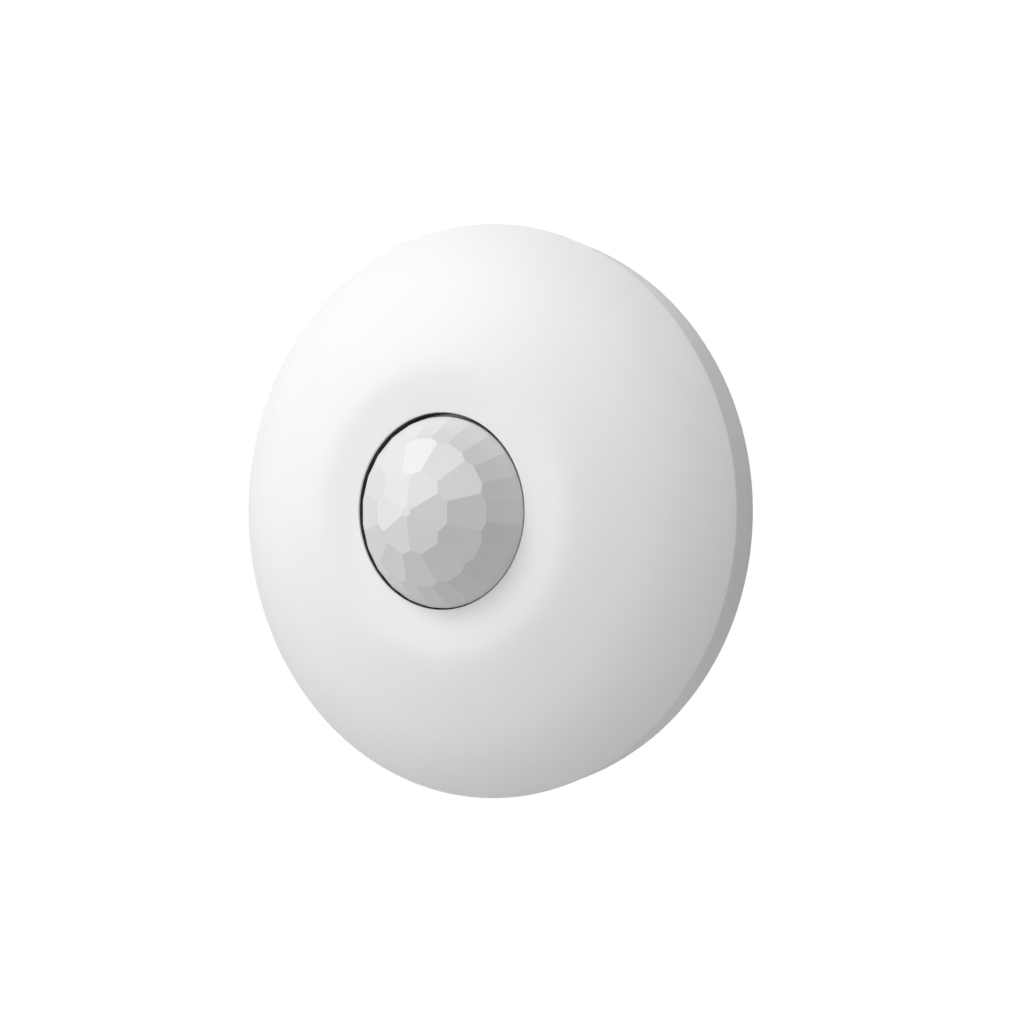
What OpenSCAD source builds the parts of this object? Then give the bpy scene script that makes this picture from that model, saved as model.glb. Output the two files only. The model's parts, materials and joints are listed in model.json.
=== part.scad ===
// Ceiling motion sensor: a domed head with a faceted Fresnel lens, twisted onto a mounting base.
// Axis horizontal, lens facing -Y, +Z up, origin at the centre of the mounting face.
// Each module is drawn along its own axis (x right, y up, z out of the lens) and then placed().

/* [Housing] */
// Radius of the cover at its rim
rim_r = 55; // [54.9:0.1:56]
// Height of the rim above the mounting face
rim_z = 8.6; // [8.6:0.1:9]
// Radius of the cover at its back edge
back_r = 54.6; // [54.5:0.1:54.8]
// Wall thickness of the cover
wall = 2; // [1.8:0.1:2.2]
// Radius that rounds the rim
rim_round = 0.4; // [0.2:0.1:0.6]

/* [Lens] */
// Radius of the opening for the lens
opening_r = 18.4; // [18.3:0.05:18.45]
// Radius of the lens where its facets end
lens_r = 17.85; // [17.8:0.05:17.95]
// Distance of the inner facets from the centre of the lens
facet_d = 18.8; // [18.6:0.05:18.9]
// Height of the centre of the lens above the rim
lens_rise = 3.6; // [3.4:0.1:3.8]
// Width of the small facet at the pole, across its flats
pole_facet = 1.5; // [1:0.1:2]

/* [Base] */
// Thickness of the base plate
plate_t = 2; // [1.8:0.1:2.1]
// Distance between the two mounting slots
slot_pitch = 60; // [58:1:62]
// Width of a mounting slot
slot_w = 4.4; // [4:0.1:4.6]
// Length of a mounting slot, end to end
slot_l = 9; // [8:0.5:10]

/* [Movements] */
// Turn that frees the head from the base, in degrees
twist = 18; // [17:1:20]
// Travel of the tamper plunger over that turn
tamper_travel = 0.9; // [0.7:0.1:0.9]
// Travel of the pairing button
button_travel = 0.3; // [0.2:0.05:0.3]
// Travel of the power slider
slider_travel = 2; // [1.5:0.5:2]

/* [Hidden] */

$fn = 96;
eps = 0.01;            // overlap that joins two solids of one piece
gap = 0.4;             // running gap between the head and the base
fit = 0.2;             // loose fit of small parts

// Colours
white = "WhiteSmoke";
off_white = "Gainsboro";
steel = "Silver";
brass = "Goldenrod";
black = "DimGray";
green = "DarkGreen";

// Face of the cover: radius and downward slope where one arc meets the next, from the opening out
face = [[opening_r, -4.5], [25.3, -1], [28.6, 11.6], [33, 15.6], [41, 20], [rim_r, 39.5]];
face_last = len(face) - 1;
face_steps = 4;
skirt_z = 1.1;
opening_z = station_z(0);
seat_z = opening_z - wall;
edge_round = 0.25;

// Levels of the inner parts above the mounting face
board_z = 8;
board_t = 1.6;
board_top = board_z + board_t;
floor_z = 4.2;
floor_t = 1.4;
floor_top = floor_z + floor_t;

// Twist lock between base and chassis
lug_angle = 16;
lug_count = 4;
lug_start = 37;        // keeps the lugs clear of the cover screws
ring_r = [45.8, 47.2];
ring_top = 6.6;
base_lug_r = 49.2;
base_lug_z = [4.4, 6];
head_lug_z = [2.5, 4.1];
hat_top = 8.2;
hat_t = 1.2;
hat_inner = [43.6, 45];
hat_outer = [49.6, 50.8];

// Lens and its seat
lens_z = rim_z + lens_rise;
ring_slopes = [14.7, 32.3, 54.3];
ring_facets = [6, 12, 24];
outer_facet_d = facet_d + 0.2;
pole_d = (facet_d - pole_facet / 2 * sin(ring_slopes[0])) / cos(ring_slopes[0]);
lens_t = 0.9;
foot_top = seat_z + 0.5;
flange_r = 21.9;
flange_t = 1;
gasket_t = 0.8;
gasket_lip = 0.15;     // thickness of the gasket's lip, which lines the opening
gasket_lip_z = opening_z - 0.35;
lens_play = opening_r - gasket_lip - lens_r;
lens_sag = 0.95 * lens_play * [cos(-40), sin(-40)];   // the lens hangs low in its opening by its play
collar_r = [22.4, 23.6];
collar_z = 14.6;
flange_top = seat_z - gasket_t;
retainer_top = flange_top - flange_t;

// Batteries: two AAA cells
cell_r = 5.25;
cell_l = 43.7;
nub = [1.9, 0.8];
trough_y = 30;
trough_z = 8;
trough_wall = 1;
trough_r = 5.5;
trough_half = 24.2;
contact_t = 0.4;

// Fasteners
cover_screw_r = 40.5;
cover_pilot_r = 1.23;
cover_boss_z = 7.8;
cover_seat_z = 6.2;
board_screw_at = [[32, 13], [-32, 13], [-32, -13], [18, -19.8]];
board_pilot_r = 0.93;

// Controls under the board
tamper_r = 34;
tamper_turn = -30;
tamper_tip_z = 3.1;
pairing_at = [-8, -14];
power_at = [-14, 14];

// Puts a piece drawn along its axis into the frame of the whole part
module placed() {
    rotate([90, 0, 0]) children();
}

// Repeats a child at equal turns round the axis
module around(count, start = 0) {
    for (i = [0 : count - 1]) rotate([0, 0, start + i * 360 / count]) children();
}

// Ring about the axis between two radii and two heights
module ring(radii, heights) {
    sector(radii, heights, 360);
}

// Part of such a ring, over an angle from the x axis
module sector(radii, heights, angle) {
    rotate_extrude(angle = angle)
        translate([radii[0], heights[0]]) square([radii[1] - radii[0], heights[1] - heights[0]]);
}

// Cylinder between two heights
module post(r, low, high) {
    translate([0, 0, low]) cylinder(r = r, h = high - low);
}

// Block centred in x and y between two heights
module block(size, low, high) {
    translate([-size[0] / 2, -size[1] / 2, low]) cube([size[0], size[1], high - low]);
}

// Slot with round ends along x between two heights
module slot(length, width, low, high) {
    block([length - width, width], low, high);
    for (side = [-1, 1]) translate([side * (length - width) / 2, 0, 0]) post(width / 2, low, high);
}

// Drop along an arc whose slope turns from a to b over a horizontal run
function arc_drop(run, a, b) = run * (cos(a) - cos(b)) / (sin(b) - sin(a));

// Height of each place on the face where two arcs meet, summed from the rim inwards
function station_z(i) =
    i == face_last ? rim_z
    : station_z(i + 1) + arc_drop(face[i + 1][0] - face[i][0], face[i][1], face[i + 1][1]);

// Point at fraction t of face arc i, moved inwards by depth along the normal
function face_point(i, t, depth) =
    let (
        run = face[i + 1][0] - face[i][0],
        slope = asin(sin(face[i][1]) + t * (sin(face[i + 1][1]) - sin(face[i][1]))),
        z = station_z(i) - (t > 0 ? arc_drop(t * run, face[i][1], slope) : 0)
    )
    [face[i][0] + t * run - depth * sin(slope), z - depth * cos(slope)];

// Outline of the face from arc first to the rim, ending short of the rim's corner
function face_outline(first, depth, end) = [
    for (i = [first : face_last - 1], k = [0 : face_steps - (i == face_last - 1 ? 0 : 1)])
        face_point(i, k / face_steps * (i == face_last - 1 ? end : 1), depth)
];

// Rounded corner where the face meets the skirt
function rim_corner() =
    let (
        slope = face[face_last][1],
        draft = atan((rim_r - back_r) / (rim_z - skirt_z)),
        face_n = [sin(slope), cos(slope)],
        skirt_n = [cos(draft), -sin(draft)],
        centre = [rim_r, rim_z] - rim_round * (face_n + skirt_n) / (1 + face_n * skirt_n)
    )
    [
        for (k = [0 : 4])
            let (angle = slope + k / 4 * (90 + draft - slope))
            centre + rim_round * [sin(angle), cos(angle)]
    ];

// Reverses a list of points
function reversed(points) = [for (i = [len(points) - 1 : -1 : 0]) points[i]];

// Section of the cover's shell
module cover_section() {
    polygon(concat(
        [[opening_r, seat_z], [opening_r, opening_z - edge_round], [opening_r + edge_round, opening_z]],
        [for (point = face_outline(0, 0, 0.95)) if (point[0] > opening_r + edge_round) point],
        rim_corner(),
        [[back_r, skirt_z], [back_r - wall, skirt_z], [rim_r - wall - 0.15, rim_z - 1.2]],
        reversed(face_outline(1, wall, 0.9)),
        [[collar_r[1], seat_z]]
    ));
}

// Solid under the middle of the cover's wall, which trims the bosses inside it
module under_cover() {
    rotate_extrude() polygon(concat(
        [[0, 0], [0, opening_z - wall / 2]],
        face_outline(0, wall / 2, 0.9),
        [[back_r - wall / 2, rim_z - 1], [back_r - wall / 2, 0]]
    ));
}

// Base plate with its ribbed back, lock ring, lugs, stops, tamper ramp and mounting slots
module mounting_base() {
    rib_z = 0.6;
    rib_w = 1.2;
    pad = [slot_l + 5, 9.4];
    lug_r = [ring_r[1] - eps, base_lug_r];
    color(white) placed() difference() {
        union() {
            ring([50, back_r - 0.2], [0, 0.8]);
            ring([50, 51.6], [0, plate_t]);
            post(50 + eps, rib_z, plate_t);
            post(9, 0, rib_z + eps);
            ring([23.4, 24.6], [0, rib_z + eps]);
            around(8, 22.5) translate([24, -rib_w / 2, 0]) cube([26.5, rib_w, rib_z + eps]);
            at_slots() slot(pad[0], pad[1], 0, rib_z + eps);
            ring(ring_r, [plate_t - eps, ring_top]);
            around(lug_count, lug_start) sector(lug_r, base_lug_z, lug_angle);
            around(lug_count, lug_start - 2.2) sector(lug_r, [plate_t - eps, floor_z], 1.6);
            tamper_ramp();
        }
        at_slots() slot(slot_l, slot_w, -1, plate_t + 1);
        at_slots() slot(slot_l + 4, slot_w + 4, plate_t - 1, plate_t + 1);
    }
}

// Repeats a child at both mounting slots
module at_slots() {
    for (side = [-1, 1]) translate([side * slot_pitch / 2, 0, 0]) children();
}

// Ramp that holds the tamper plunger in, and lets it out as the head turns
module tamper_ramp() {
    top_z = tamper_tip_z - fit;
    run = tamper_r * twist * PI / 180;
    low_z = top_z - tamper_travel;
    rotate([0, 0, tamper_turn]) translate([tamper_r + 3, 0, 0]) rotate([90, 0, -90])
        linear_extrude(6.6) polygon([
            [3, plate_t - eps], [3, top_z], [0, top_z], [-run, low_z], [-run, plate_t - eps]
        ]);
}

// Domed front with its skirt, lens seat, screw bosses and locating ribs
module front_cover() {
    color(white) placed() difference() {
        union() {
            rotate_extrude() cover_section();
            ring(collar_r, [collar_z, seat_z + 1]);
            intersection() {
                around(4) translate([cover_screw_r, 0, 0]) post(3, cover_boss_z, 20);
                under_cover();
            }
            around(8, 22.5) translate([51, -0.5, 3]) cube([2.5, 1, 4]);
        }
        around(4) translate([cover_screw_r, 0, 0]) post(cover_pilot_r, cover_boss_z - 1, 13.2);
    }
}

// Space on the inner side of a facet that faces a polar angle and a turn, at a distance from the centre
module facet(polar, turn, distance) {
    rotate([0, polar, turn]) translate([-30, -30, distance - 60]) cube(60);
}

// Faceted dome: a pole facet and rings of 6, 12 and 24 facets round it
module faceted_dome() {
    facets = concat([[0, 0, pole_d]], [
        for (ring = [0 : 2], i = [0 : ring_facets[ring] - 1])
            [ring_slopes[ring], i * 360 / ring_facets[ring], ring == 2 ? outer_facet_d : facet_d]
    ]);
    intersection_for (i = [-1 : len(facets) - 1])
        if (i < 0) post(lens_r, retainer_top - lens_z, 30);
        else facet(facets[i][0], facets[i][1], facets[i][2]);
}

// Lens: the faceted dome, hollow, on a foot in the opening, with the flange that is clamped behind it
module lens() {
    color(off_white) placed() translate(lens_sag) difference() {
        union() {
            translate([0, 0, lens_z]) faceted_dome();
            post(lens_r, retainer_top, foot_top);
            ring([lens_r - 2, flange_r], [retainer_top, flange_top]);
        }
        intersection() {
            translate([0, 0, lens_z]) sphere(r = facet_d - lens_t);
            post(lens_r - lens_t, retainer_top - 1, lens_z + 30);
        }
    }
}

// Black foam ring between the lens flange and the cover, with a thin lip that lines the opening
module lens_gasket() {
    color(black) placed() {
        ring([opening_r - gasket_lip, flange_r], [flange_top, seat_z]);
        ring([opening_r - gasket_lip, opening_r], [seat_z - eps, gasket_lip_z]);
    }
}

// Ring that clamps the lens flange, with a tube down to the board that keeps insects out
module lens_retainer() {
    color(black) placed() {
        ring([18.2, 22.3], [collar_z + 0.2, retainer_top]);
        ring([18.2, 19.4], [board_top + fit, collar_z + 0.2 + eps]);
        around(6) translate([19.2, -0.6, 11]) cube([2, 1.2, collar_z - 10.7]);
    }
}

// Space of one battery trough, grown by a margin: round round the cell, straight down to its open back
module trough_shape(margin, length, low) {
    r = trough_r + margin;
    intersection() {
        union() {
            translate([-length / 2, trough_y, trough_z]) rotate([0, 90, 0]) cylinder(r = r, h = length);
            translate([0, trough_y, 0]) block([length, 2 * r], low, trough_z);
        }
        translate([0, trough_y, 0]) block([length + 2, 2 * r + 2], low, trough_z + r + 1);
    }
}

// Rear housing of the head: lock wall and lugs, floor, battery troughs, screw turrets and guides
module chassis() {
    wall_out = 2 * (trough_half + trough_wall);
    lug_r = [base_lug_r - 1.6, hat_outer[0] + eps];
    color(white) placed() difference() {
        union() {
            post(hat_inner[0] + eps, floor_z, floor_top);
            ring(hat_inner, [floor_z, hat_top]);
            ring([hat_inner[0], hat_outer[1]], [hat_top - hat_t, hat_top]);
            ring(hat_outer, [plate_t + gap, hat_top]);
            around(lug_count, lug_start) sector(lug_r, head_lug_z, lug_angle);
            around(2) trough_shape(trough_wall, wall_out, floor_z);
            around(4) translate([cover_screw_r, 0, 0]) post(4, floor_z, cover_boss_z);
            for (at = board_screw_at) translate(at) post(2.4, floor_z, board_z);
        }
        around(2) trough_shape(0, 2 * trough_half, floor_z - 1);
        around(4) translate([cover_screw_r, 0, 0]) {
            post(2.9, floor_z - 1, cover_seat_z);
            post(1.6, floor_z, cover_boss_z + 1);
        }
        for (at = board_screw_at) translate(at) post(board_pilot_r, floor_top - 0.6, board_z + 1);
        at_tamper() post(3.75, floor_z - 1, floor_top + 1);
        translate(pairing_at) post(2.7, floor_z - 1, floor_top + 1);
        translate([power_at[0] + slider_travel / 2, power_at[1], 0])
            block([3.4 + slider_travel, 3], floor_z - 1, floor_top + 1);
    }
}

// Pan-head screw pointing up from a height, with a cross recess in its head
module screw(head_r, head_h, shank_r, length) {
    difference() {
        union() {
            post(head_r, -head_h, 0);
            post(shank_r, -eps, length - shank_r);
            translate([0, 0, length - shank_r]) cylinder(r1 = shank_r, r2 = 0.3, h = shank_r);
        }
        for (turn = [0, 90]) rotate([0, 0, turn])
            block([head_r * 1.1, head_r * 0.22], -head_h - 1, -head_h * 0.45);
    }
}

// Four screws that hold the chassis to the cover, driven from behind
module cover_screws() {
    color(steel) placed() around(4) translate([cover_screw_r, 0, cover_seat_z])
        screw(2.7, 1.7, cover_pilot_r - 0.03, 6.6);
}

// Circuit board: round, cut straight beside the batteries, notched round the cover's bosses
module circuit_board() {
    color(green) placed() difference() {
        intersection() {
            post(38.5, board_z, board_top);
            block([90, 45.2], board_z - 1, board_top + 1);
        }
        for (side = [-1, 1]) translate([side * cover_screw_r, 0, 0]) post(3.5, board_z - 1, board_top + 1);
        for (at = board_screw_at) translate(at) post(1.3, board_z - 1, board_top + 1);
        around(3, 45) translate([2.54, 0, 0]) post(0.4, board_z - 1, board_top + 1);
    }
}

// Four screws that hold the board down, driven from the front
module board_screws() {
    color(steel) placed() for (at = board_screw_at)
        translate([at[0], at[1], board_top]) mirror([0, 0, 1]) screw(2, 1.3, board_pilot_r - 0.03, 4.4);
}

// Index tab of the infrared sensor, grown by a margin
module sensor_tab(margin) {
    rotate([0, 0, 45]) translate([4.9, 0, 0])
        block([1.3 + 2 * margin, 1 + 2 * margin], board_top, board_top + 0.4 + margin);
}

// Metal can of the infrared sensor, with its base flange, index tab and window frame
module pyro_sensor() {
    color(steel) placed() difference() {
        union() {
            post(4.6, board_top, board_top + 0.6);
            post(4.1, board_top, board_top + 4.2);
            sensor_tab(0);
        }
        block([4.6, 3.4], board_top + 3.7, board_top + 5);
    }
}

// Infrared filter in the top of the can
module sensor_window() {
    color("SlateGray") placed() block([4.5, 3.3], board_top + 3.7, board_top + 4.1);
}

// Three leads of the sensor, soldered through the board
module sensor_pins() {
    color(brass) placed() around(3, 45) translate([2.54, 0, 0]) {
        post(0.23, board_z - 1, board_top);
        translate([0, 0, board_z - 0.5]) cylinder(r1 = 0.3, r2 = 0.7, h = 0.5);
    }
}

// Soft collar that keeps draughts off the sensor, notched for its tab
module sensor_collar() {
    color(black) placed() difference() {
        ring([4.75, 6.4], [board_top, board_top + 2.4]);
        sensor_tab(fit);
    }
}

// Small-outline chip body with two rows of gull-wing leads
module leaded_chip(size, leads, pitch) {
    block(size, 0.15, 1.6);
    for (side = [-1, 1], i = [0 : leads - 1])
        translate([(i - (leads - 1) / 2) * pitch, side * (size[1] / 2 + 0.4), 0]) {
            block([0.42, 1.1], 0, 0.25);
            translate([0, -side * 0.25, 0]) block([0.42, 0.35], 0, 0.95);
        }
}

// Amplifier beside the sensor, inside the retainer tube
module amplifier_chip() {
    color(black) placed() translate([0, -11, board_top]) leaded_chip([8.7, 3.9], 7, 1.27);
}

// Controller on the right of the board, leads on all four sides
module controller_chip() {
    color(black) placed() translate([28, -4.5, board_top]) {
        block([7, 7], 0.15, 1.35);
        for (turn = [0 : 90 : 270], i = [-3.5 : 3.5]) rotate([0, 0, turn])
            translate([i * 0.8, 3.9, 0]) block([0.36, 1], 0, 0.55);
    }
}

// Metal-cased crystal with round ends
module crystal() {
    color(steel) placed() translate([27, 6, board_top]) {
        slot(8, 3.8, 0, 3);
        slot(8.8, 4.6, 0, 0.4);
    }
}

// Shield can over the radio
module radio_shield() {
    color(steel) placed() translate([-26.8, 1.5, board_top]) difference() {
        block([10.5, 13], 0, 2.4);
        block([9.9, 12.4], -1, 2.1);
        for (x = [-3 : 2 : 3], y = [-4 : 2 : 4]) translate([x, y, 0]) post(0.4, 1, 3);
    }
}

// Closed tube swept along a path of points, with a polygon of given sides as its section
module swept_wire(path, wire_r, sides) {
    last = len(path) - 1;
    function unit(v) = v / norm(v);
    function along(i) = unit(path[min(i + 1, last)] - path[max(i - 1, 0)]);
    function side(i) = unit(cross(along(i), [0.03, 0.02, 1]));
    points = [
        for (i = [0 : last], k = [0 : sides - 1])
            let (angle = k * 360 / sides)
            path[i] + wire_r * (cos(angle) * side(i) + sin(angle) * cross(side(i), along(i)))
    ];
    walls = [
        for (i = [0 : last - 1], k = [0 : sides - 1])
            let (a = i * sides + k, b = i * sides + (k + 1) % sides)
            [a, b, b + sides, a + sides]
    ];
    start = [for (k = [sides - 1 : -1 : 0]) k];
    finish = [for (k = [0 : sides - 1]) last * sides + k];
    polyhedron(points, concat([start], walls, [finish]), convexity = 8);
}

// Points of a coil about z that may narrow from one radius to another
function coil(r0, r1, height, turns, steps) = [
    for (k = [0 : turns * steps])
        let (t = k / (turns * steps), r = r0 + (r1 - r0) * t)
        [r * cos(k * 360 / steps), r * sin(k * 360 / steps), height * t]
];

// Helical antenna lying along the left edge of the board
module antenna() {
    color(brass) placed() translate([-34.9, -7.5, board_top + 2.4]) rotate([-90, 0, 0])
        swept_wire(coil(1.7, 1.7, 15, 9, 14), 0.35, 6);
}

// Electrolytic capacitor with its square plastic foot
module filter_capacitor() {
    color(steel) placed() translate([-21.5, -15, board_top]) {
        block([6.6, 6.6], 0, 0.9);
        post(3.1, 0.8, 4.4);
        post(2.8, 4.3, 4.6);
    }
}

// Surface-mounted part: a body with two metal ends
module chip_part(at, turn, size, height) {
    translate([at[0], at[1], board_top]) rotate([0, 0, turn]) {
        block([size[0] * 0.6, size[1] * 0.94], 0.04, height * 0.96);
        for (side = [-1, 1]) translate([side * size[0] * 0.4, 0, 0])
            block([size[0] * 0.21, size[1]], 0, height);
    }
}

// Row of six capacitors behind the controller and four beside the sensor
module chip_capacitors() {
    color("Tan") placed() {
        for (i = [0 : 5]) chip_part([21.6 + 2.4 * i, -11.6], 90, [2, 1.25], 1.1);
        for (i = [0 : 3]) chip_part([-9 + 2.6 * i, 13], 90, [2, 1.25], 1.1);
    }
}

// Rows of resistors on both sides of the board
module chip_resistors() {
    color(black) placed() {
        for (i = [0 : 4]) chip_part([21.1, 1.6 + 2.2 * i], 0, [1.6, 0.8], 0.5);
        for (i = [0 : 5]) chip_part([-12.5 + 2.2 * i, 9.5], 90, [1.6, 0.8], 0.5);
        for (i = [0 : 3]) chip_part([-30 + 2.4 * i, -7.6], 90, [1.6, 0.8], 0.5);
    }
}

// Round indicator that glows through the lens
module status_led() {
    color("White") placed() translate([11, 2, board_top]) {
        post(1.9, 0, 1);
        post(1.5, 0, 3.6);
        translate([0, 0, 3.6]) sphere(r = 1.5);
    }
}

// Two AAA cells, laid opposite ways so that they are in series
module battery_cells() {
    color("SteelBlue") placed() around(2)
        translate([trough_half - contact_t - nub[1] - cell_l, trough_y, trough_z]) rotate([0, 90, 0]) {
            cylinder(r = cell_r, h = cell_l);
            cylinder(r = nub[0], h = cell_l + nub[1]);
        }
}

// Conical springs at the flat ends of the cells
module contact_springs() {
    room = 2 * trough_half - contact_t - nub[1] - cell_l;
    color(steel) placed() around(2) translate([-trough_half + 0.35, trough_y, trough_z]) rotate([0, 90, 0])
        swept_wire(coil(4, 2.4, room - 0.7, 3, 16), 0.3, 6);
}

// Plates at the raised ends of the cells
module contact_plates() {
    color(steel) placed() around(2)
        translate([trough_half - contact_t, trough_y, trough_z]) rotate([0, 90, 0]) {
            cylinder(r = 4.8, h = contact_t);
            translate([0, -4, 0]) cube([4, 8, contact_t]);
        }
}

// Puts a child on the axis of the tamper plunger
module at_tamper() {
    rotate([0, 0, tamper_turn]) translate([tamper_r, 0, 0]) children();
}

// Low switch that the tamper plunger presses
module tamper_switch() {
    color(black) placed() at_tamper() block([3, 3], board_z - 0.6, board_z);
}

// Cup-shaped plunger: tip, body with a pocket for its spring, flange and centre post
module tamper_plunger() {
    color(off_white) placed() at_tamper() {
        difference() {
            union() {
                translate([0, 0, tamper_tip_z]) cylinder(r1 = 1.3, r2 = 1.8, h = 0.5);
                post(1.8, tamper_tip_z + 0.5, 4.2);
                post(3.6, 4.1, 7.1);
                post(4.2, floor_top + tamper_travel + 0.05, 7.1);
            }
            ring([1.8, 3.1], [5, 8]);
        }
        post(1.3, 5, board_z - 0.7);
    }
}

// Spring that pushes the plunger out
module tamper_spring() {
    color(steel) placed() at_tamper() translate([0, 0, 5.25])
        swept_wire(coil(2.6, 2.6, board_z - 5.45, 3.5, 16), 0.18, 6);
}

// Push switch for pairing, with the well that the button's stem enters
module pairing_switch() {
    color(black) placed() translate(pairing_at) difference() {
        block([6, 6], board_z - 1.2, board_z);
        post(1.5, board_z - 2, board_z - 0.2);
    }
}

// Pairing button: cap in the chassis floor, flange behind it and stem
module pairing_button() {
    color("LightSlateGray") placed() translate(pairing_at) {
        post(2.5, floor_z - 0.2, floor_top + 0.2);
        post(3.2, floor_top + 0.1, floor_top + 0.6);
        post(1.2, floor_top + 0.5, board_z - 0.25 - button_travel - fit);
    }
}

// Slide switch body with the channel that its slider runs in
module power_switch() {
    color(steel) placed() translate([power_at[0] + slider_travel / 2, power_at[1], 0]) difference() {
        block([9, 4.4], floor_top + 0.2, board_z);
        block([3.2 + slider_travel, 2.6], floor_top, board_z - 0.4);
    }
}

// Slider of the power switch: shoe in the channel and ribbed knob through the floor
module power_slider() {
    color("LightSlateGray") placed() translate(power_at) difference() {
        union() {
            block([3, 2.3], floor_top + 0.5, board_z - 0.6);
            block([2, 2], floor_z - 0.6, floor_top + 0.6);
        }
        for (i = [-1 : 1]) translate([i * 0.6, 0, 0]) block([0.2, 3], floor_z - 1, floor_z - 0.35);
    }
}

mounting_base();
front_cover();
lens();
lens_gasket();
lens_retainer();
chassis();
cover_screws();
circuit_board();
board_screws();
pyro_sensor();
sensor_window();
sensor_pins();
sensor_collar();
amplifier_chip();
controller_chip();
crystal();
radio_shield();
antenna();
filter_capacitor();
chip_capacitors();
chip_resistors();
status_led();
battery_cells();
contact_springs();
contact_plates();
tamper_switch();
tamper_plunger();
tamper_spring();
pairing_switch();
pairing_button();
power_switch();
power_slider();
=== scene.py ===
import json
import math

import bmesh
import bpy
from mathutils import Matrix, Vector


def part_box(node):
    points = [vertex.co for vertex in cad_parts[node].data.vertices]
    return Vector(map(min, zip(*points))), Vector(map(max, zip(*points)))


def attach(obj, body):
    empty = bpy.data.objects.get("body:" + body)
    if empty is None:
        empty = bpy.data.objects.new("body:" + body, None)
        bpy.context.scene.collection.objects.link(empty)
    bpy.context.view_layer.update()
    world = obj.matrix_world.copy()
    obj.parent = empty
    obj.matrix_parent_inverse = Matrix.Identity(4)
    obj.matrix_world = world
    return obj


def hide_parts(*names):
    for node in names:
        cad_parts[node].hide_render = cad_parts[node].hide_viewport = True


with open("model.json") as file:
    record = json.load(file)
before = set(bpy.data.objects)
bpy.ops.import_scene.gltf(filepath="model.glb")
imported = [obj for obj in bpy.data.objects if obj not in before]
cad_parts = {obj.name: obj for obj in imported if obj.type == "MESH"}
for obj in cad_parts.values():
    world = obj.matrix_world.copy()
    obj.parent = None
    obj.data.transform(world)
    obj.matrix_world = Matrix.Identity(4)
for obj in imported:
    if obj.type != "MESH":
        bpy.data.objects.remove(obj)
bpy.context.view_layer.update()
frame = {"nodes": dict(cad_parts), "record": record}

# Looks of a round ceiling motion sensor. The axis is level and the lens faces -Y.
# Shapes are worked out in millimetres as (radius, height above the mounting face), then put in metres.
MM = 0.001
SEGMENTS = 288          # round the axis
LENS_SEGMENTS = 144     # round the lens, whose foot is small


def size_of(node):
    """Radius, back height and front height of a round CAD node, in millimetres."""
    low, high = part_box(node)
    return (high.x - low.x) / 2 / MM, -high.y / MM, -low.y / MM


RIM_R, SKIRT_H, _ = size_of("front_cover")
FLANGE_R, FLANGE_H, POLE_H = size_of("lens")
_, GASKET_H, LIP_H = size_of("lens_gasket")
RIM_R = round(RIM_R, 1) # the CAD mesh falls a hair short of the true radius
RIM_H = 8.6             # where the face meets the band behind the rim
BACK_R = RIM_R - 0.4    # the band narrows a little towards the back
WALL = 2.0
OPENING_R = 18.4
OPENING_H = LIP_H + 0.35    # the gasket's black lip ends just below the face. It is partly painted shade: a dark part that darkens the gap round the lens, where shade falls
SEAT_H = OPENING_H - WALL
LENS_R = 17.85
LEAD_L = 0.93           # how far a chip's leads reach out of its body


# ---------------------------------------------------------------- mesh helpers

def new_piece(name, bm, body, replaces):
    """Makes an object of a bmesh in millimetres, and hangs it on a CAD body in place of CAD nodes."""
    bmesh.ops.scale(bm, vec=(MM, MM, MM), verts=bm.verts)
    mesh = bpy.data.meshes.new(name)
    bm.to_mesh(mesh)
    bm.free()
    piece = bpy.data.objects.new(name, mesh)
    bpy.context.scene.collection.objects.link(piece)
    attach(piece, body)
    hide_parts(*replaces)
    return piece


def point(radius, height, angle=0.0):
    """Point at a radius, a height off the mounting face and an angle from +X, in the frame."""
    return Vector((radius * math.cos(angle), -height, radius * math.sin(angle)))


def revolve(bm, outline, closed=True, segments=SEGMENTS):
    """Turns a (radius, height) outline about the axis. A point on the axis becomes one vertex."""
    rings = []
    for radius, height in outline:
        if radius < 1e-6:
            rings.append([bm.verts.new(point(0, height))])
        else:
            rings.append([bm.verts.new(point(radius, height, 2 * math.pi * k / segments))
                          for k in range(segments)])
    pairs = list(zip(rings, rings[1:]))
    if closed:
        pairs.append((rings[-1], rings[0]))
    for ring_a, ring_b in pairs:
        if len(ring_a) == 1 and len(ring_b) == 1:
            continue
        for k in range(segments):
            quad = [ring_a[k % len(ring_a)], ring_a[(k + 1) % len(ring_a)],
                    ring_b[(k + 1) % len(ring_b)], ring_b[k % len(ring_b)]]
            bm.faces.new(list(dict.fromkeys(quad)))


def arc(centre, radius, start, end, steps):
    """Points of an arc in the outline plane; angles in degrees from the radius axis to the height axis."""
    angles = [math.radians(start + (end - start) * k / steps) for k in range(steps + 1)]
    return [(centre[0] + radius * math.cos(a), centre[1] + radius * math.sin(a)) for a in angles]


def add_bevel(piece, width, sharp_degrees=30.0):
    """Small round on the edges that are sharper than an angle."""
    modifier = piece.modifiers.new("edges", "BEVEL")
    modifier.width = width * MM
    modifier.segments = 2
    modifier.limit_method = "ANGLE"
    modifier.angle_limit = math.radians(sharp_degrees)
    modifier.harden_normals = True
    modifier.use_clamp_overlap = True


def finish_mesh(piece, material, sharp_degrees=30.0, bevel=0.0):
    """Smooth shading with sharp creases, an optional bevel on the creases, and the material."""
    mesh = piece.data
    mesh.materials.clear()
    mesh.materials.append(material)
    for face in mesh.polygons:
        face.use_smooth = True
    if bevel:
        add_bevel(piece, bevel, sharp_degrees)
    else:
        mesh.set_sharp_from_angle(angle=math.radians(sharp_degrees))
    return piece


# ---------------------------------------------------------------- material helpers

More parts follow.
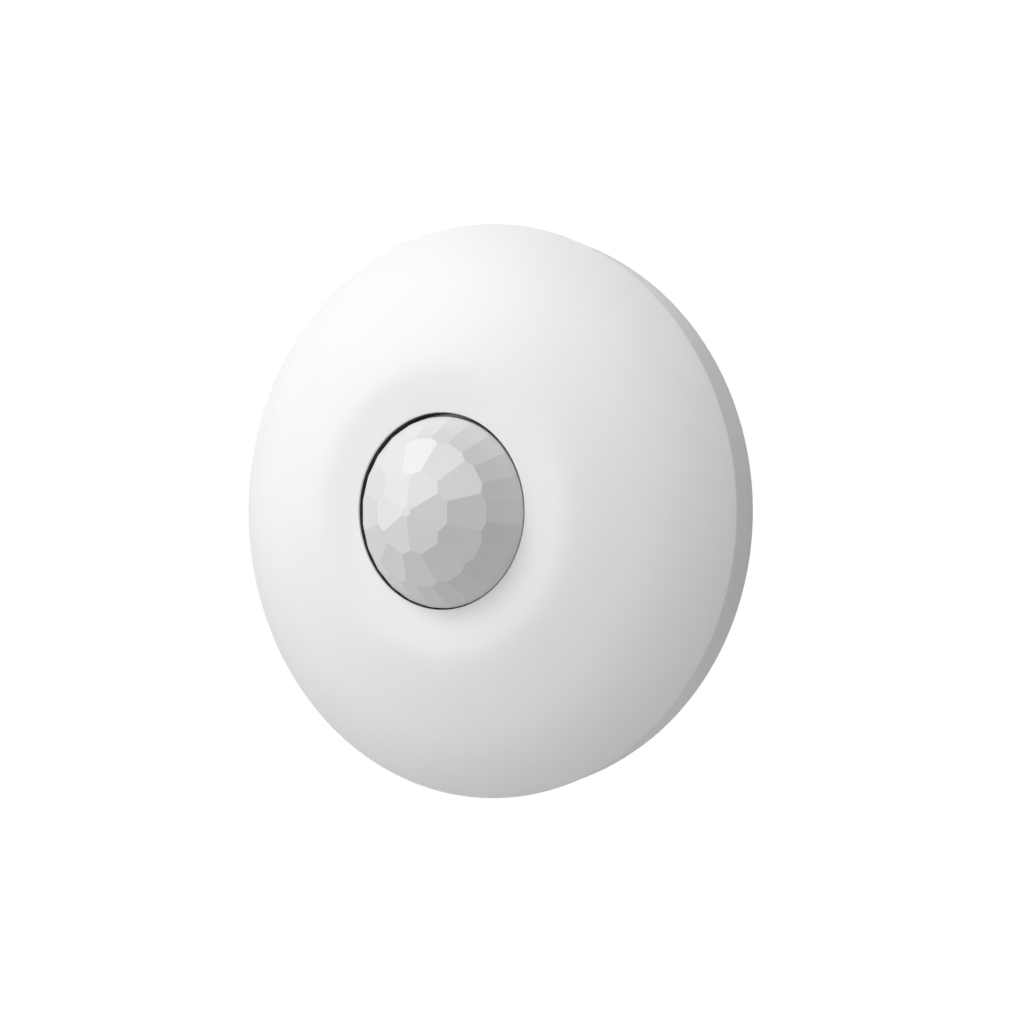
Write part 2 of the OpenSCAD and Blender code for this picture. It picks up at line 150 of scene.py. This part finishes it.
class Nodes:
    """Short way to build a material's node tree."""

    def __init__(self, name):
        self.material = bpy.data.materials.new(name)
        self.material.use_nodes = True
        self.tree = self.material.node_tree
        self.shader = self.tree.nodes["Principled BSDF"]
        self.place = self.add("ShaderNodeTexCoord").outputs["Object"]

    def add(self, kind, **inputs):
        """New node. A space in an input's name is written as an underscore."""
        node = self.tree.nodes.new(kind)
        for name, value in inputs.items():
            self.put(node.inputs[name.replace("_", " ")], value)
        return node

    def put(self, socket, value):
        """Links another node's output to a socket, or sets the socket's own value."""
        if isinstance(value, bpy.types.NodeSocket):
            self.tree.links.new(value, socket)
        else:
            socket.default_value = value

    def stretched(self, scale):
        """Object coordinates scaled differently along each axis."""
        return self.add("ShaderNodeMapping", Vector=self.place, Scale=scale).outputs["Vector"]

    def turned(self, angles):
        """Object coordinates turned about X, Y and Z."""
        return self.add("ShaderNodeMapping", Vector=self.place, Rotation=angles).outputs["Vector"]

    def noise(self, size, detail=2.0, stretch=(1, 1, 1)):
        """Noise with grains of a size in millimetres, drawn out where the stretch is under 1."""
        node = self.add("ShaderNodeTexNoise", Vector=self.stretched(stretch), Scale=1 / (size * MM),
                        Detail=detail)
        return node.outputs["Fac"]

    def cells(self, size):
        """Distance to the middle of the nearest of many cells, 0 to about 1."""
        node = self.add("ShaderNodeTexVoronoi", Vector=self.place, Scale=1 / (size * MM))
        return node.outputs["Distance"]

    def math(self, operation, first, second=0.0):
        """Result of one sum on two numbers or outputs."""
        node = self.tree.nodes.new("ShaderNodeMath")
        node.operation = operation
        self.put(node.inputs[0], first)
        self.put(node.inputs[1], second)
        return node.outputs["Value"]

    def spread(self, value, low, high, start=0.3, end=0.7):
        """Maps start to end of a value, most of a noise's range, on to low to high."""
        node = self.add("ShaderNodeMapRange", Value=value)
        for name, number in (("From Min", start), ("From Max", end), ("To Min", low), ("To Max", high)):
            node.inputs[name].default_value = number
        return node.outputs["Result"]

    def edge_wear(self, size=0.5):
        """1 on convex edges and corners that get rubbed, broken up by noise, else 0."""
        edge = self.spread(self.add("ShaderNodeNewGeometry").outputs["Pointiness"], 0, 1, 0.52, 0.58)
        return self.math("MULTIPLY", edge, self.spread(self.noise(size, 3), 0, 1, 0.4, 0.65))

    def mix(self, amount, first, second):
        """Colour between two colours."""
        node = self.tree.nodes.new("ShaderNodeMix")
        node.data_type = "RGBA"
        self.put(node.inputs["Factor"], amount)
        self.put(node.inputs["A"], first)
        self.put(node.inputs["B"], second)
        return node.outputs["Result"]

    def bump(self, height, distance, under=None):
        """Normal of a relief that is a distance deep, on top of another normal if one is given."""
        node = self.add("ShaderNodeBump", Height=height, Distance=distance, Strength=1.0)
        if under is not None:
            self.put(node.inputs["Normal"], under)
        return node.outputs["Normal"]

    def set(self, **inputs):
        """Fills in the shader's inputs and gives the finished material."""
        for name, value in inputs.items():
            self.put(self.shader.inputs[name.replace("_", " ")], value)
        return self.material


def grey(value, tint=(1.0, 1.0, 1.0)):
    """Grey of a brightness from 0 to 1, or a tinted one, with full alpha."""
    return tuple(value * t for t in tint) + (1.0,)


def shade(colour, factor):
    """The colour made darker or lighter."""
    return tuple(min(c * factor, 1.0) for c in colour[:3]) + (1.0,)


def moulded_plastic(name, colour, roughness, grain=0.25, relief=0.004, variation=0.012, specular=0.35,
                    rubbed=0.0):
    """Moulded plastic: spark-eroded grain, faint mottling, uneven gloss, and edges rubbed smoother."""
    n = Nodes(name)
    mottle = n.noise(9, 3)
    fine = n.noise(grain)
    gloss = n.spread(fine, roughness - 0.03, roughness + 0.03)
    smudges = n.spread(n.noise(22, 4), -0.03, 0.03)
    body = n.mix(n.spread(mottle, 0, 1), shade(colour, 1 - variation), colour)
    if rubbed:
        body = n.mix(n.math("MULTIPLY", n.edge_wear(), rubbed), body, shade(colour, 1.6))
    return n.set(
        Base_Color=body,
        Roughness=n.math("ADD", gloss, smudges),
        Specular_IOR_Level=specular,
        Normal=n.bump(fine, relief * MM),
    )


def plated_metal(name, colour, roughness, grain=0.3, stretch=(1, 1, 1), tarnish=0.86):
    """Plated or drawn metal: streaks from rolling or drawing, cloudy gloss and slight tarnish."""
    n = Nodes(name)
    streaks = n.noise(grain, 1, stretch)
    clouds = n.noise(3, 3)
    return n.set(
        Base_Color=n.mix(n.spread(clouds, 0, 1), shade(colour, tarnish), colour),
        Metallic=1.0,
        Roughness=n.math("ADD", n.spread(streaks, roughness - 0.03, roughness + 0.03),
                         n.spread(clouds, 0.05, -0.03)),
        Normal=n.bump(streaks, 0.001 * MM),
    )


def foam(name, colour):
    """Closed-cell foam: small dimples with lighter walls between them."""
    n = Nodes(name)
    dimples = n.cells(0.45)
    return n.set(
        Base_Color=n.mix(n.spread(dimples, 0, 1, 0.2, 0.8), colour, shade(colour, 2.2)),
        Roughness=n.spread(n.noise(2, 3), 0.86, 0.97),
        Specular_IOR_Level=0.2,
        Normal=n.bump(dimples, 0.06 * MM),
    )


def soft_rubber(name, colour):
    """Moulded rubber with a dusty bloom."""
    n = Nodes(name)
    bloom = n.noise(1.6, 5)
    return n.set(
        Base_Color=n.mix(n.spread(bloom, 0, 1), colour, shade(colour, 1.7)),
        Roughness=n.spread(bloom, 0.68, 0.86),
        Specular_IOR_Level=0.25,
        Normal=n.bump(n.noise(0.2, 3), 0.01 * MM),
    )


def solder_mask(name, colour):
    """Green board: copper tracks showing lighter and raised under the mask, over a fine glass weave."""
    n = Nodes(name)
    tracks = []
    for turn, length, pitch, patch in ((0, 17, 0.9, 5.5), (math.pi / 2, 11, 1.1, 8)):
        flat = n.turned((math.pi / 2, 0, turn))
        lines = n.add("ShaderNodeTexBrick", Vector=flat, Scale=1 / MM, Mortar_Size=0.16, Mortar_Smooth=0.2,
                      Brick_Width=length, Row_Height=pitch)
        lines.offset = 0.37
        here = n.spread(n.noise(patch), 0, 1, 0.5, 0.53)
        tracks.append(n.math("MULTIPLY", lines.outputs["Fac"], here))
    copper = n.math("MAXIMUM", *tracks)
    weave = n.noise(0.35, 1, (1, 1, 0.3))
    mask = n.mix(n.spread(n.noise(1.2, 3), 0, 1), shade(colour, 0.85), colour)
    return n.set(
        Base_Color=n.mix(copper, mask, shade(colour, 2.0)),
        Roughness=n.spread(n.noise(0.5), 0.26, 0.38),
        Coat_Weight=0.3,
        Normal=n.bump(copper, 0.035 * MM, under=n.bump(weave, 0.004 * MM)),
    )


def coated_window(name, colour):
    """Dark coated silicon: polished, with a faint change of tint."""
    n = Nodes(name)
    film = n.noise(2.4, 2)
    violet = (0.10, 0.06, 0.15, 1.0)
    return n.set(
        Base_Color=n.mix(n.spread(film, 0, 1), colour, violet),
        Roughness=n.spread(n.noise(0.3, 3), 0.06, 0.14),
        Coat_Weight=0.6,
        Normal=n.bump(film, 0.002 * MM),
    )


def chip_epoxy(name, colour):
    """Moulded epoxy of a chip: matt and slightly pitted."""
    n = Nodes(name)
    pits = n.noise(0.12, 4)
    return n.set(
        Base_Color=n.mix(n.spread(pits, 0, 1), colour, shade(colour, 2.0)),
        Roughness=n.spread(pits, 0.5, 0.68),
        Specular_IOR_Level=0.4,
        Normal=n.bump(pits, 0.012 * MM),
    )


def fired_ceramic(name, colour):
    """Fired ceramic of a small capacitor."""
    n = Nodes(name)
    grain = n.noise(0.1, 4)
    return n.set(
        Base_Color=n.mix(n.spread(n.noise(0.7, 3), 0, 1), shade(colour, 0.8), shade(colour, 1.15)),
        Roughness=n.spread(grain, 0.42, 0.6),
        Normal=n.bump(grain, 0.008 * MM),
    )


def diffuse_resin(name, colour):
    """Milky epoxy of an indicator, with a soft glow inside."""
    n = Nodes(name)
    haze = n.noise(0.8, 3)
    return n.set(
        Base_Color=n.mix(n.spread(haze, 0, 1), shade(colour, 0.92), colour),
        Roughness=n.spread(haze, 0.2, 0.3),
        Subsurface_Weight=0.3,
        Subsurface_Scale=0.5 * MM,
        Coat_Weight=0.3,
        Normal=n.bump(haze, 0.004 * MM),
    )


def cell_film(name, colour, band):
    """Printed film on a cell: a plain colour with a pale band at the raised end, scuffed by handling."""
    n = Nodes(name)
    band_start = 12 * MM
    split = n.add("ShaderNodeSeparateXYZ", Vector=n.place)
    side = n.math("SIGN", split.outputs["Z"])       # the two cells lie head to tail
    along = n.math("MULTIPLY", split.outputs["X"], side)
    banded = n.math("GREATER_THAN", along, band_start)
    scuffs = n.spread(n.noise(0.5, 4, (0.12, 1, 1)), 0, 1, 0.64, 0.8)
    film = n.mix(banded, colour, band)
    return n.set(
        Base_Color=n.mix(n.math("MULTIPLY", scuffs, 0.25), film, grey(0.5)),
        Metallic=0.3,
        Roughness=n.spread(scuffs, 0.26, 0.5, 0, 1),
        Coat_Weight=0.4,
        Normal=n.bump(n.noise(5, 2), 0.02 * MM),
    )


def build_materials():
    """One material for each material slot of the record, and tin for leads."""
    return {
        "cover_plastic": moulded_plastic("cover_plastic", grey(0.88), 0.5),
        "base_plastic": moulded_plastic("base_plastic", grey(0.84), 0.55, relief=0.008, variation=0.02),
        "lens_plastic": moulded_plastic("lens_plastic", grey(0.755), 0.35, grain=0.15, relief=0.002,
                                        specular=0.6),
        "black_plastic": moulded_plastic("black_plastic", grey(0.02), 0.6, variation=0.2, rubbed=0.4),
        "control_plastic": moulded_plastic("control_plastic", grey(0.09, (0.9, 1.0, 1.1)), 0.5,
                                           relief=0.006, variation=0.1, rubbed=0.5),
        # The lens gasket's black foam is partly painted shade: its lip darkens the gap round the lens,
        # where shade falls.
        "black_foam": foam("black_foam", grey(0.04)),
        "grey_rubber": soft_rubber("grey_rubber", grey(0.035)),
        "board": solder_mask("board", (0.010, 0.075, 0.025, 1.0)),
        "filter_glass": coated_window("filter_glass", grey(0.03, (0.8, 0.9, 1.1))),
        "chip_plastic": chip_epoxy("chip_plastic", grey(0.02)),
        "ceramic": fired_ceramic("ceramic", (0.36, 0.25, 0.15, 1.0)),
        "led_resin": diffuse_resin("led_resin", grey(0.85)),
        "cell_jacket": cell_film("cell_jacket", (0.02, 0.07, 0.17, 1.0), grey(0.45)),
        "screw_steel": plated_metal("screw_steel", grey(0.55, (1, 1, 1.02)), 0.34, 0.2),
        "can_steel": plated_metal("can_steel", grey(0.62), 0.32, 1.5, (1, 0.3, 1)),
        "aluminium_can": plated_metal("aluminium_can", grey(0.72), 0.32, 0.2, (1, 0.1, 1)),
        "gold_plate": plated_metal("gold_plate", (0.72, 0.50, 0.18, 1.0), 0.22, 0.2),
        "spring_steel": plated_metal("spring_steel", grey(0.58, (1, 1, 1.02)), 0.2, 0.15),
        "tin": plated_metal("tin", grey(0.68), 0.36, 0.12, tarnish=0.7),
    }


# ---------------------------------------------------------------- cover

# Radius and downward slope, in degrees, where the arcs of the face meet; the same as in the CAD model
FACE = [(OPENING_R, -4.5), (25.3, -1), (28.6, 11.6), (33, 15.6), (41, 20), (RIM_R, 39.5)]
FACE_STEPS = 110
FACE_BLEND = 1.6        # how far the change of curvature is spread to each side of a join
RIM_ROUND = 0.4
EDGE_ROUND = 0.22       # at the opening
BACK_ROUND = 0.3        # at the back of the skirt
COLLAR_R = (22.4, 23.6) # ring inside the cover, round the lens flange
COLLAR_H = 14.6         # how near it comes to the mounting face
COLLAR_BEVEL = 0.2
INNER_CORNER_IN = 0.15  # how far the corner inside the rim stands in from the wall's inner face
INNER_CORNER_H = RIM_H - 1.2
INNER_FACE_END = 0.6    # where the inner side of the face stops short of that wall


def arc_slope_sine(radius):
    """Sine of the face's slope where each stretch between two places is one arc."""
    places = [(r, math.sin(math.radians(slope))) for r, slope in FACE]
    for (r0, low), (r1, high) in zip(places, places[1:]):
        if radius <= r1:
            break
    return low + (high - low) * (radius - r0) / (r1 - r0)


def slope_sine(radius, samples=17):
    """The same with the joins blended, so that highlights run across them smoothly."""
    reach = min(FACE_BLEND, radius - FACE[0][0], FACE[-1][0] - radius)
    places = [radius + reach * (2 * k / (samples - 1) - 1) for k in range(samples)]
    return sum(arc_slope_sine(r) for r in places) / samples


def face_outline(depth=0.0):
    """Outline of the face from opening to rim, moved into the wall by a depth."""
    step = (RIM_R - OPENING_R) / FACE_STEPS
    radii = [OPENING_R + step * k for k in range(FACE_STEPS + 1)]
    sines = [slope_sine(r) for r in radii]
    tans = [s / math.sqrt(1 - s * s) for s in sines]
    heights = [RIM_H]
    for k in range(FACE_STEPS, 0, -1):
        heights.insert(0, heights[0] + step * (tans[k] + tans[k - 1]) / 2)
    return [(r - depth * s, h - depth * math.sqrt(1 - s * s)) for r, h, s in zip(radii, heights, sines)]


def rim_corner(steps=8):
    """Rounded corner between the end of the face and the skirt."""
    slope = math.radians(FACE[-1][1])
    draft = math.atan((RIM_R - BACK_R) / (RIM_H - SKIRT_H))
    face_n = Vector((math.sin(slope), math.cos(slope)))
    skirt_n = Vector((math.cos(draft), -math.sin(draft)))
    centre = Vector((RIM_R, RIM_H)) - RIM_ROUND * (face_n + skirt_n) / (1 + face_n.dot(skirt_n))
    return arc(centre, RIM_ROUND, 90 - FACE[-1][1], -math.degrees(draft), steps)


def build_cover(material):
    """Cover shell: smooth face, rounded rim, drafted skirt, and the seat and collar for the lens inside."""
    face = face_outline()
    opening_h = face[0][1]
    outline = arc((OPENING_R + EDGE_ROUND, opening_h - EDGE_ROUND), EDGE_ROUND, 180, 90, 5)
    outline += [(r, h) for r, h in face if OPENING_R + 2 * EDGE_ROUND < r < RIM_R - 2 * RIM_ROUND]
    outline += rim_corner()
    back_h = SKIRT_H + BACK_ROUND
    outline += arc((BACK_R - BACK_ROUND, back_h), BACK_ROUND, 0, -90, 4)
    outline += arc((BACK_R - WALL + BACK_ROUND, back_h), BACK_ROUND, -90, -180, 4)
    wall_r = RIM_R - WALL
    outline += [(wall_r - INNER_CORNER_IN, INNER_CORNER_H)]
    collar_in, collar_out = COLLAR_R
    inner = [(r, h) for r, h in face_outline(WALL) if collar_out < r < wall_r - INNER_FACE_END]
    outline += inner[::-2]
    outline += [(collar_out, COLLAR_H + COLLAR_BEVEL), (collar_out - COLLAR_BEVEL, COLLAR_H),
                (collar_in + COLLAR_BEVEL, COLLAR_H), (collar_in, COLLAR_H + COLLAR_BEVEL),
                (collar_in, SEAT_H), (OPENING_R, SEAT_H)]
    bm = bmesh.new()
    revolve(bm, outline)
    bmesh.ops.recalc_face_normals(bm, faces=bm.faces)
    piece = new_piece("cover_shell", bm, "head", ["front_cover"])
    return finish_mesh(piece, material, sharp_degrees=40)


# ---------------------------------------------------------------- lens

LENS_H = RIM_H + 3.6    # centre of the dome
FACET_D = 18.8          # from there to a facet
# Slope in degrees, number and distance of the facets in each ring, from the pole outwards
RINGS = [(14.7, 6, FACET_D), (32.3, 12, FACET_D), (54.3, 24, FACET_D + 0.2)]
POLE_D = POLE_H - LENS_H
LENS_T = 0.9
FLANGE_BEVEL = 0.1


def lens_sag():
    """How far the lens hangs off the axis in its opening, in millimetres."""
    low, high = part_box("lens")
    return Vector(((low.x + high.x) / 2, 0, (low.z + high.z) / 2)) / MM


LENS_SAG = lens_sag()


def facet_planes():
    """(distance, normal) of each flat facet, from the pole outwards."""
    planes = [(POLE_D, Vector((0, -1, 0)))]
    for polar, count, distance in RINGS:
        for k in range(count):
            side, turn = math.radians(polar), 2 * math.pi * k / count
            planes.append((distance, point(math.sin(side), math.cos(side), turn)))
    return planes


def build_lens(material):
    """Rod cut to a faceted dome, with its flange and hollow inside, as one closed wall."""
    bm = bmesh.new()
    pointed_rod = [(LENS_R, SEAT_H), (LENS_R, LENS_H + 14), (0, LENS_H + 26)]
    revolve(bm, pointed_rod, closed=False, segments=LENS_SEGMENTS)
    centre = point(0, LENS_H)
    for distance, normal in facet_planes():
        cut = bmesh.ops.bisect_plane(
            bm, geom=bm.verts[:] + bm.edges[:] + bm.faces[:], dist=1e-5,
            plane_co=centre + normal * distance, plane_no=normal, clear_outer=True)
        rim = [e for e in cut["geom_cut"] if isinstance(e, bmesh.types.BMEdge) and len(e.link_faces) == 1]
        if rim:
            bmesh.ops.contextual_create(bm, geom=rim)
    inner_r = LENS_R - LENS_T
    dome_r = FACET_D - LENS_T
    start = math.degrees(math.acos(inner_r / dome_r))
    inside = arc((0, LENS_H), dome_r, start, 90, 24)
    inside[-1] = (0, LENS_H + dome_r)
    flange = [(LENS_R, SEAT_H), (LENS_R, GASKET_H), (FLANGE_R - FLANGE_BEVEL, GASKET_H),
              (FLANGE_R, GASKET_H - FLANGE_BEVEL), (FLANGE_R, FLANGE_H + FLANGE_BEVEL),
              (FLANGE_R - FLANGE_BEVEL, FLANGE_H), (inner_r, FLANGE_H)]
    revolve(bm, flange + inside, closed=False, segments=LENS_SEGMENTS)
    bmesh.ops.remove_doubles(bm, verts=bm.verts, dist=1e-4)
    bmesh.ops.translate(bm, verts=bm.verts, vec=LENS_SAG)
    bmesh.ops.recalc_face_normals(bm, faces=bm.faces)
    piece = new_piece("lens_dome", bm, "head", ["lens"])
    return finish_mesh(piece, material, sharp_degrees=6, bevel=0.08)


# ---------------------------------------------------------------- materials of all pieces

# Width in millimetres of the small rounding on the edges of CAD nodes
BEVELS = {
    "mounting_base": 0.25, "chassis": 0.15, "lens_retainer": 0.12, "pairing_button": 0.2,
    "power_slider": 0.12, "tamper_plunger": 0.15, "cover_screws": 0.08, "board_screws": 0.06,
    "pyro_sensor": 0.12, "crystal": 0.15, "radio_shield": 0.12, "filter_capacitor": 0.12,
    "status_led": 0.05, "battery_cells": 0.3, "amplifier_chip": 0.05, "controller_chip": 0.05,
}


def tin_leads(node, tin):
    """Puts tin on the leads of a chip, or on the raised end caps of small parts."""
    mesh = frame["nodes"][node].data
    mesh.materials.append(tin)
    low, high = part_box(node)
    middle = (low + high) / 2
    half = (high - low) / 2
    for face in mesh.polygons:
        across = abs(face.center.z - middle.z)
        along = abs(face.center.x - middle.x)
        if node == "amplifier_chip":
            is_lead = across > half.z - LEAD_L * MM
        elif node == "controller_chip":
            is_lead = max(across, along) > half.x - LEAD_L * MM
        else:
            is_lead = face.center.y < low.y + 0.01 * MM
        face.material_index = int(is_lead)


def dress_nodes(materials):
    """Gives every CAD node that still shows its material and its small edge rounding."""
    for part in frame["record"]["subparts"]:
        name = part["node"]
        node = frame["nodes"][name]
        if node.hide_render:
            continue
        mesh = node.data
        mesh.materials.clear()
        mesh.materials.append(materials[part["material_slot"]])
        if name in ("amplifier_chip", "controller_chip", "chip_capacitors", "chip_resistors"):
            tin_leads(name, materials["tin"])
        if name in BEVELS:
            add_bevel(node, BEVELS[name])


materials = build_materials()
build_cover(materials["cover_plastic"])
build_lens(materials["lens_plastic"])
dress_nodes(materials)


# ---------------------------------------------------------------- camera, lights and floor

VIEW_ANGLE = 30.74      # from the lens axis to the camera's line of sight, in degrees
VIEW_DISTANCE = 6       # from the camera to the rim's plane, in rim radii
VIEW_RIGHT = 0.14       # how far right of the rim's centre the camera stands, in rim radii
VIEW_DOWN = 0.003       # how far below it, in rim radii
FOCAL_LENGTH = 60.35    # in millimetres
SENSOR_WIDTH = 36       # in millimetres
WORLD_LIGHT = 0.12      # strength of the even light on the sensor
FLOOR_Z = -0.3          # in metres, like the next three
FLOOR_R = 0.6
LIGHT_DISTANCE = 1.2
LIGHT_SIZE = 0.6

# Azimuth and elevation in degrees, and power in watts, of each soft box. Azimuth 0 is in front of the
# lens, and 90 is to the right of it.
LIGHTS = {
    "key": (-35, 40, 6.87),
    "key_left": (-65, 40, 2.04),
    "key_right": (15, 40, 3.5),
    "fill_left": (-65, 5, 1.57),
    "fill_front": (-35, 5, 2.55),
    "side_right": (80, 5, 1.24),
    "back_right": (115, 5, 1.6),
    "back_top": (175, 50, 4.6),
}


def look_along(obj, direction, up=Vector((0, 0, 1))):
    """Turns a camera or a light so that it looks along a direction."""
    back = -direction.normalized()
    right = up.cross(back).normalized()
    obj.matrix_world = Matrix.Translation(obj.location) @ Matrix(
        (right, back.cross(right), back)).transposed().to_4x4()


def build_camera():
    """Level camera that looks at the lens from the right."""
    angle = math.radians(VIEW_ANGLE)
    forward = Vector((-math.sin(angle), math.cos(angle), 0))
    right = Vector((math.cos(angle), math.sin(angle), 0))
    radius = RIM_R * MM
    camera = bpy.data.objects.new("camera", bpy.data.cameras.new("camera"))
    bpy.context.scene.collection.objects.link(camera)
    camera.data.sensor_width = SENSOR_WIDTH
    camera.data.lens = FOCAL_LENGTH
    camera.data.clip_start = 0.01
    camera.location = point(0, RIM_H) * MM + radius * (VIEW_RIGHT * right - VIEW_DISTANCE * forward)
    camera.location.z -= VIEW_DOWN * radius
    look_along(camera, forward)
    bpy.context.scene.camera = camera


def build_light(name, azimuth, elevation, power):
    """Square soft box aimed at the sensor."""
    a, e = math.radians(azimuth), math.radians(elevation)
    away = Vector((math.sin(a) * math.cos(e), -math.cos(a) * math.cos(e), math.sin(e)))
    light = bpy.data.objects.new(name, bpy.data.lights.new(name, "AREA"))
    light.data.size = LIGHT_SIZE
    light.data.energy = power
    light.location = away * LIGHT_DISTANCE
    bpy.context.scene.collection.objects.link(light)
    look_along(light, -away)


def build_world():
    """White backdrop to the camera, and a weak even light on the sensor."""
    world = bpy.data.worlds.new("studio")
    bpy.context.scene.world = world
    world.use_nodes = True
    nodes, links = world.node_tree.nodes, world.node_tree.links
    background = nodes["Background"]
    background.inputs["Color"].default_value = (1, 1, 1, 1)
    path = nodes.new("ShaderNodeLightPath")
    level = nodes.new("ShaderNodeMapRange")
    level.inputs["To Min"].default_value = WORLD_LIGHT
    level.inputs["To Max"].default_value = 1.0
    links.new(path.outputs["Is Camera Ray"], level.inputs["Value"])
    links.new(level.outputs["Result"], background.inputs["Strength"])


def build_floor():
    """Round pale floor below the sensor, which the camera sees as the same white as the background."""
    bm = bmesh.new()
    bmesh.ops.create_circle(bm, cap_ends=True, segments=96, radius=FLOOR_R,
                            matrix=Matrix.Translation((0, 0, FLOOR_Z)))
    mesh = bpy.data.meshes.new("floor")
    bm.to_mesh(mesh)
    bm.free()
    floor = bpy.data.objects.new("floor", mesh)
    bpy.context.scene.collection.objects.link(floor)
    n = Nodes("floor")
    n.set(Base_Color=n.mix(n.spread(n.noise(60, 2), 0, 1), grey(0.65), grey(0.69)), Roughness=0.9)
    path = n.add("ShaderNodeLightPath")
    glow = n.add("ShaderNodeEmission", Color=(1, 1, 1, 1), Strength=1.0)
    choice = n.add("ShaderNodeMixShader", Fac=path.outputs["Is Camera Ray"])
    output = n.tree.nodes["Material Output"]
    n.tree.links.new(n.shader.outputs["BSDF"], choice.inputs[1])
    n.tree.links.new(glow.outputs["Emission"], choice.inputs[2])
    n.tree.links.new(choice.outputs["Shader"], output.inputs["Surface"])
    mesh.materials.append(n.material)


build_camera()
build_floor()
build_world()
for light_name, (azimuth, elevation, power) in LIGHTS.items():
    build_light(light_name, azimuth, elevation, power)
bpy.context.scene.view_settings.view_transform = "Standard"
